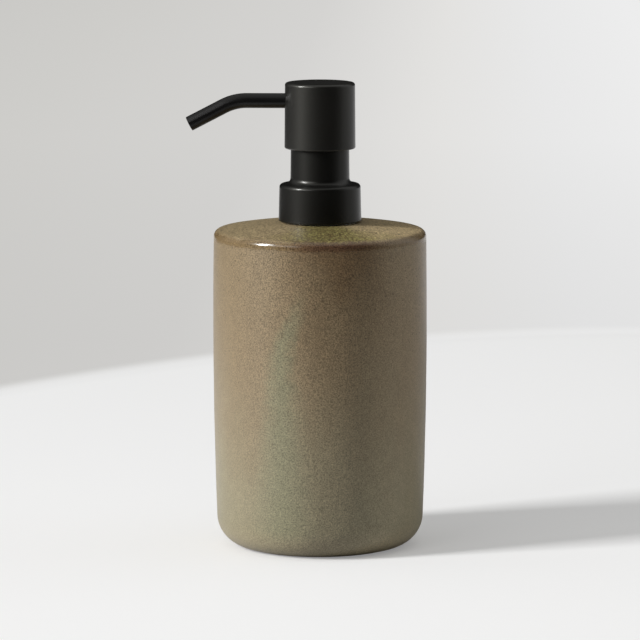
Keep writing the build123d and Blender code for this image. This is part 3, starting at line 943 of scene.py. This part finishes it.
# Both noises lie round 0.5, so the grain darkens as much as it lightens.
grain_around = add(tree, "ShaderNodeMath", {0: grain.outputs["Fac"], 1: 0.5}, operation="SUBTRACT")
grain_tone = add(
    tree,
    "ShaderNodeMath",
    {0: grain_around.outputs[0], 1: grain_depth.outputs[0], 2: 1.0},
    operation="MULTIPLY_ADD",
)
on_top = add(
    tree,
    "ShaderNodeMapRange",
    {"Value": place.outputs["Z"], "From Min": 126.5 * mm, "From Max": 128.0 * mm,
     "To Min": 0.0, "To Max": 2.4},
)
fleck_around = add(tree, "ShaderNodeMath", {0: flecks.outputs["Fac"], 1: 0.5}, operation="SUBTRACT")
fleck_tone = add(
    tree,
    "ShaderNodeMath",
    {0: fleck_around.outputs[0], 1: on_top.outputs[0], 2: grain_tone.outputs[0]},
    operation="MULTIPLY_ADD",
)
# The mottle also carries the painted light and shade round the jar.
mottle_and_painted_light = add(
    tree, "ShaderNodeMath", {0: clouds_and_painted_light.outputs[0], 1: fleck_tone.outputs[0]}, operation="MULTIPLY"
)
mottled_and_painted_light = add(
    tree,
    "ShaderNodeVectorMath",
    {0: break_and_painted_light.outputs[2], "Scale": mottle_and_painted_light.outputs[0]},
    operation="SCALE",
)
print("grain:", round(grain_size / mm, 1), "mm, flecks on the top:", round(fleck_size / mm, 1), "mm")

# %% Glaze: iron specks
# Real specks are 0.1 to 0.4 mm. They are drawn at 0.3 to 0.8 mm so that they show, one at most in
# each cell of 1.3 mm.
speck_spacing = 1.3 * mm
speck_cells = add(
    tree, "ShaderNodeTexVoronoi", {"Vector": surface, "Scale": 1 / speck_spacing, "Randomness": 1.0}
)
speck_pick = add(tree, "ShaderNodeSeparateColor", {"Color": speck_cells.outputs["Color"]})
# They crowd where the coat is thin, and the thick coat low down buries most of them.
crowding = add(
    tree,
    "ShaderNodeMapRange",
    {"Value": ragged_height.outputs[0], "From Min": 60 * mm, "From Max": 160 * mm,
     "To Min": 0.16, "To Max": 0.40},
)
speck_size = add(
    tree,
    "ShaderNodeMapRange",
    {"Value": speck_pick.outputs[0], "From Min": 0.1, "From Max": 1.0,
     "To Min": 0.0, "To Max": crowding.outputs[0]},
)
speck_depth = add(
    tree,
    "ShaderNodeMath",
    {0: speck_size.outputs[0], 1: speck_cells.outputs["Distance"]},
    operation="SUBTRACT",
)
speck = add(
    tree,
    "ShaderNodeMapRange",
    {"Value": speck_depth.outputs[0], "From Min": 0.0, "From Max": 0.2,
     "To Min": 0.0, "To Max": 0.6},
)
specked = add(
    tree,
    "ShaderNodeMix",
    {0: speck.outputs[0], 6: mottled_and_painted_light.outputs[0], 7: colour("#3f3121")},
    data_type="RGBA",
)
print("specks: one at most in", round(speck_spacing / mm, 1), "mm")

# %% Glaze: bare clay at the foot
# Fired stoneware without glaze is a dull buff, mottled by its own grain.
clay = add(
    tree,
    "ShaderNodeMix",
    {0: grain.outputs["Fac"], 6: colour("#7d6a55"), 7: colour("#968168")},
    data_type="RGBA",
)
unglazed = add(
    tree,
    "ShaderNodeMapRange",
    {"Value": place.outputs["Z"], "From Min": coat_end, "From Max": coat_end - coat_roll},
)
finished = add(
    tree,
    "ShaderNodeMix",
    {0: unglazed.outputs[0], 6: specked.outputs[2], 7: clay.outputs[2]},
    data_type="RGBA",
)
tree.links.new(finished.outputs[2], shader.inputs["Base Color"])
print("clay below", round(coat_end / mm, 2), "mm")

# %% Glaze: shine and skin
# The thin band over the shoulder melted smoothest, and the flat of the top least. Bare clay has no
# shine. Specks sit in small pits.
top_shine = add(
    tree,
    "ShaderNodeMapRange",
    {"Value": at_top.outputs[0], "From Min": 0.0, "From Max": 1.0, "To Min": 0.34, "To Max": 0.45},
)
satin = add(
    tree,
    "ShaderNodeMath",
    {0: band.outputs[0], 1: -0.2, 2: top_shine.outputs[0]},
    operation="MULTIPLY_ADD",
)
dull = add(
    tree,
    "ShaderNodeMix",
    {0: unglazed.outputs[0], 2: satin.outputs[0], 3: 0.85},
    data_type="FLOAT",
)
tree.links.new(dull.outputs[0], shader.inputs["Roughness"])
shader.inputs["IOR"].default_value = 1.6
skin = add(
    tree,
    "ShaderNodeMath",
    {0: speck.outputs[0], 1: -0.6, 2: grain.outputs["Fac"]},
    operation="MULTIPLY_ADD",
)
bump = add(
    tree, "ShaderNodeBump", {"Strength": 0.25, "Distance": 0.025 * mm, "Height": skin.outputs[0]}
)
tree.links.new(bump.outputs[0], shader.inputs["Normal"])
jar.data.materials.append(glaze)
print("glaze nodes:", len(tree.nodes))

# %% [markdown]
# ## Black shells
# The collar, its sleeve and the head are moulded plastic with a fine spark-eroded texture, cut into
# the mould so that it doesn't show fingerprints. The texture spreads the lamp into a wide dim glow,
# and its flattened peaks add a narrower gleam on top, which a thin coat gives. The colour is a warm
# black, because pure black would lose the form in the shade. The collar is moulded in another
# plastic than the head and came out a duller, deeper black. The spout is steel tube under a thin
# black coating, smoother than either.

# %% Black plastics


def dress(names, material):
    """Gives CAD nodes a finish."""
    for name in names:
        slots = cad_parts[name].data.materials
        slots.clear()
        slots.append(material)


# The slow drift from one tone to the other is 14 mm across, as the plastic flowed in the mould.
drift_size = 14 * mm


def grained(name, dark, light, grain_size, roughness, bump_distance):
    """A moulded or coated skin: two close tones, and a fine grain that also breaks up its shine."""
    material, tree, shader = new_material(name)
    surface = add(tree, "ShaderNodeTexCoord").outputs["Object"]
    grain = add(
        tree,
        "ShaderNodeTexNoise",
        {"Vector": surface, "Scale": 1 / grain_size, "Detail": 3.0, "Roughness": 0.6},
    )
    drift = add(
        tree, "ShaderNodeTexNoise", {"Vector": surface, "Scale": 1 / drift_size, "Detail": 2.0}
    )
    both = add(
        tree, "ShaderNodeMath", {0: grain.outputs["Fac"], 1: drift.outputs["Fac"]}, operation="MULTIPLY"
    )
    tone = add(
        tree,
        "ShaderNodeMapRange",
        {"Value": both.outputs[0], "From Min": 0.1, "From Max": 0.45},
    )
    tint = add(
        tree,
        "ShaderNodeMix",
        {0: tone.outputs[0], 6: colour(dark), 7: colour(light)},
        data_type="RGBA",
    )
    tree.links.new(tint.outputs[2], shader.inputs["Base Color"])
    gloss = add(
        tree,
        "ShaderNodeMapRange",
        {"Value": grain.outputs["Fac"], "From Min": 0.3, "From Max": 0.7,
         "To Min": roughness - 0.04, "To Max": roughness + 0.04},
    )
    tree.links.new(gloss.outputs[0], shader.inputs["Roughness"])
    bump = add(
        tree,
        "ShaderNodeBump",
        {"Strength": 0.3, "Distance": bump_distance, "Height": grain.outputs["Fac"]},
    )
    tree.links.new(bump.outputs[0], shader.inputs["Normal"])
    return material, tree, shader


# Head: ABS in a spark-eroded mould. The real texture is about 0.05 mm. It is drawn at 0.35 mm, here
# and on the collar, so that it shows.
texture_size = 0.35 * mm
black_shell, tree, shader = grained(
    "textured_black_abs", "#0d0c0b", "#12110f", texture_size, 0.43, 0.02 * mm
)
shader.inputs["Coat Weight"].default_value = 0.5
shader.inputs["Coat Roughness"].default_value = 0.22
shader.inputs["Specular Tint"].default_value = colour("#fffdf1")
dress(["head_shell"], black_shell)
# Collar and sleeve: polypropylene with the same texture, duller and deeper.
black_collar, tree, shader = grained(
    "textured_black_pp", "#040403", "#080706", texture_size, 0.43, 0.02 * mm
)
shader.inputs["Coat Weight"].default_value = 0.5
shader.inputs["Coat Roughness"].default_value = 0.22
shader.inputs["Specular Tint"].default_value = colour("#fffdf1")
shader.inputs["Specular IOR Level"].default_value = 0.3
dress(["collar_shell"], black_collar)
# Spout: steel tube with a baked black coat. Its orange peel is about 0.5 mm.
black_tube, tree, shader = grained(
    "black_coated_steel", "#0a0909", "#0e0d0c", 0.5 * mm, 0.31, 0.01 * mm
)
shader.inputs["Specular IOR Level"].default_value = 0.4
dress(["spout_tube"], black_tube)
# The working pieces under the shells: plain black polypropylene, smooth from a polished mould.
black_inner, tree, shader = grained(
    "moulded_black_pp", "#1b1b1b", "#242424", 0.6 * mm, 0.4, 0.01 * mm
)
dress(["closure", "chaplet", "stem", "actuator_core"], black_inner)
print("black finishes:", [m.name for m in (black_shell, black_collar, black_tube, black_inner)])

# %% [markdown]
# ## Plastics and rubbers inside
# Inside the jar nothing is coloured on purpose. Polypropylene without pigment is milky, polythene is
# clearer and softer, the gasket is grey foam and the wiper ring is black rubber. Milky plastic lets
# light in a little way, which subsurface scattering gives.

# %% Inner plastics
# The grain of these is the slow clouding of plastic without pigment, 1 to 2 mm across.


def milky(name, dark, light, grain_size, roughness, depth):
    """An unpigmented plastic: light goes a little way in."""
    material, tree, shader = grained(name, dark, light, grain_size, roughness, 0.005 * mm)
    shader.inputs["Subsurface Weight"].default_value = 0.4
    shader.inputs["Subsurface Scale"].default_value = depth
    shader.inputs["Subsurface Radius"].default_value = (1.0, 0.9, 0.8)
    return material


# Polypropylene without pigment, moulded: satin and slightly warm.
natural_pp = milky("unpigmented_pp", "#d9d9d2", "#e6e6df", 1.5 * mm, 0.35, 1.0 * mm)
dress(["neck_insert", "housing", "ball_cage", "poppet"], natural_pp)
# Polythene tube as it comes from the extruder: smooth, cool and clearer.
tube_pe = milky("natural_polythene", "#d4d9da", "#e2e6e6", 2.0 * mm, 0.28, 1.5 * mm)
dress(["dip_tube", "spout_liner"], tube_pe)
# Polythene with a little white in it, soft enough to seal.
piston_pe = milky("white_polythene", "#dcdcdc", "#e8e8e8", 1.0 * mm, 0.3, 0.8 * mm)
dress(["piston"], piston_pe)
# Foamed polythene washer, cut from sheet: its cells are about 0.4 mm.
gasket = grained("grey_foam_washer", "#8e9090", "#a8aaaa", 0.4 * mm, 0.8, 0.05 * mm)[0]
dress(["neck_gasket"], gasket)
# Nitrile rubber with the dull skin that moulding leaves.
seal = grained("black_nitrile_rubber", "#1c1c1c", "#262626", 0.5 * mm, 0.6, 0.01 * mm)[0]
dress(["stem_seal"], seal)
# Cured silicone, smoothed by the piece that was pressed into it.
sealant = grained("white_silicone", "#c9c8c2", "#d8d7d0", 1.2 * mm, 0.4, 0.02 * mm)[0]
dress(["mouth_sealant"], sealant)
inner_finishes = (natural_pp, tube_pe, piston_pe, gasket, seal, sealant)
print("inner finishes:", [m.name for m in inner_finishes])

# %% [markdown]
# ## Steel
# The valve ball is ground and polished, and the spring is drawn wire. Both are stainless steel, so they
# are bright, but the wire keeps fine lines along its length from the die.

# %% Steel


def steel(name, light, dark, scratch_size, stretch, roughness):
    """Stainless steel with fine marks, stretched along z or not."""
    material, tree, shader = new_material(name)
    surface = add(tree, "ShaderNodeTexCoord").outputs["Object"]
    along = add(tree, "ShaderNodeMapping", {"Vector": surface, "Scale": (1.0, 1.0, stretch)})
    marks = add(
        tree,
        "ShaderNodeTexNoise",
        {"Vector": along.outputs[0], "Scale": 1 / scratch_size, "Detail": 4.0, "Roughness": 0.6},
    )
    tint = add(
        tree,
        "ShaderNodeMix",
        {0: marks.outputs["Fac"], 6: colour(dark), 7: colour(light)},
        data_type="RGBA",
    )
    tree.links.new(tint.outputs[2], shader.inputs["Base Color"])
    gloss = add(
        tree,
        "ShaderNodeMapRange",
        {"Value": marks.outputs["Fac"], "From Min": 0.3, "From Max": 0.7,
         "To Min": roughness * 0.8, "To Max": roughness * 1.3},
    )
    tree.links.new(gloss.outputs[0], shader.inputs["Roughness"])
    shader.inputs["Metallic"].default_value = 1.0
    return material


# Ground and polished stainless steel, with the faintest clouding, 0.8 mm across.
ball_steel = steel("polished_stainless_ball", "#d6d6d4", "#c4c4c2", 0.8 * mm, 1.0, 0.08)
# Drawn stainless wire. Real die lines are finer than 0.02 mm. They are drawn at 0.2 mm so that
# they show.
spring_steel = steel("drawn_stainless_wire", "#c9c8c4", "#a9a8a4", 0.2 * mm, 3.0, 0.25)
print("steels:", [m.name for m in (ball_steel, spring_steel)])

# %% [markdown]
# ## The valve ball
# A loose ball on a round seat is the pump's inlet valve. It is ground between plates until it is
# rounder than anything that is moulded, so it is made here as an even mesh of small triangles, with
# no poles.

# %% Valve ball
ball_low, ball_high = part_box("inlet_ball")
ball_size = ball_high.z - ball_low.z
ball_bm = bmesh.new()
bmesh.ops.create_icosphere(ball_bm, subdivisions=5, radius=ball_size / 2)
bmesh.ops.translate(ball_bm, verts=ball_bm.verts, vec=(ball_low + ball_high) / 2)
ball = finish_piece("steel_valve_ball", ball_bm)
ball.data.materials.append(ball_steel)
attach(ball, "valve_ball")
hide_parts("inlet_ball")
print("ball:", round(ball_size / mm, 2), "mm across")

# %% [markdown]
# ## The return spring
# The spring is a coil of round wire with its end turns closed and ground flat. A circle of wire is spun
# round the axis and lifted a little at each step, which is what a coiling machine does. When the
# head goes down, the spring has to shorten towards its fixed lower end. Here it gets a mesh of its own.

# %% Return spring
spring_low, spring_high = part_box("return_spring")
wire_radius = 0.55 * mm
coil_radius = spring_high.x - wire_radius
spring_turns = 7.0
coil_steps = 30  # for each turn
end_turns = 1.0  # closed turns at each end
end_pitch = 2 * wire_radius * 1.02  # they all but touch
ground = wire_radius / 2  # the wire's middle lies this far inside each ground end
free_length = spring_high.z - spring_low.z
middle_turns = spring_turns - 2 * end_turns
middle_pitch = (free_length - 2 * ground - 2 * end_turns * end_pitch) / middle_turns
upright = Matrix.Rotation(pi / 2, 3, "X")
spring_bm = bmesh.new()
bmesh.ops.create_circle(spring_bm, cap_ends=False, radius=wire_radius, segments=12)
bmesh.ops.rotate(spring_bm, verts=spring_bm.verts, cent=(0, 0, 0), matrix=upright)
bmesh.ops.translate(spring_bm, verts=spring_bm.verts, vec=(coil_radius, 0, spring_low.z + ground))
section = spring_bm.edges[:] + spring_bm.verts[:]
for turns, pitch in ((end_turns, end_pitch), (middle_turns, middle_pitch), (end_turns, end_pitch)):
    steps = round(turns * coil_steps)
    made = bmesh.ops.spin(
        spring_bm,
        geom=section,
        cent=(0, 0, 0),
        axis=(0, 0, 1),
        dvec=(0, 0, pitch * turns / steps),
        angle=2 * pi * turns,
        steps=steps,
        use_merge=False,
        use_duplicate=False,
    )
    section = made["geom_last"]
bmesh.ops.holes_fill(spring_bm, edges=spring_bm.edges, sides=0)
for height, side in ((spring_low.z, -1), (spring_high.z, 1)):
    bmesh.ops.bisect_plane(
        spring_bm,
        geom=spring_bm.verts[:] + spring_bm.edges[:] + spring_bm.faces[:],
        plane_co=(0, 0, height),
        plane_no=(0, 0, side),
        clear_outer=True,
    )
    bmesh.ops.holes_fill(spring_bm, edges=spring_bm.edges, sides=0)
spring = finish_piece("return_spring_coil", spring_bm)
spring.data.materials.append(spring_steel)
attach(spring, "swivel")
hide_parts("return_spring")
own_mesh(spring)
print("spring turns:", spring_turns, " middle pitch:", round(middle_pitch / mm, 2), "mm")
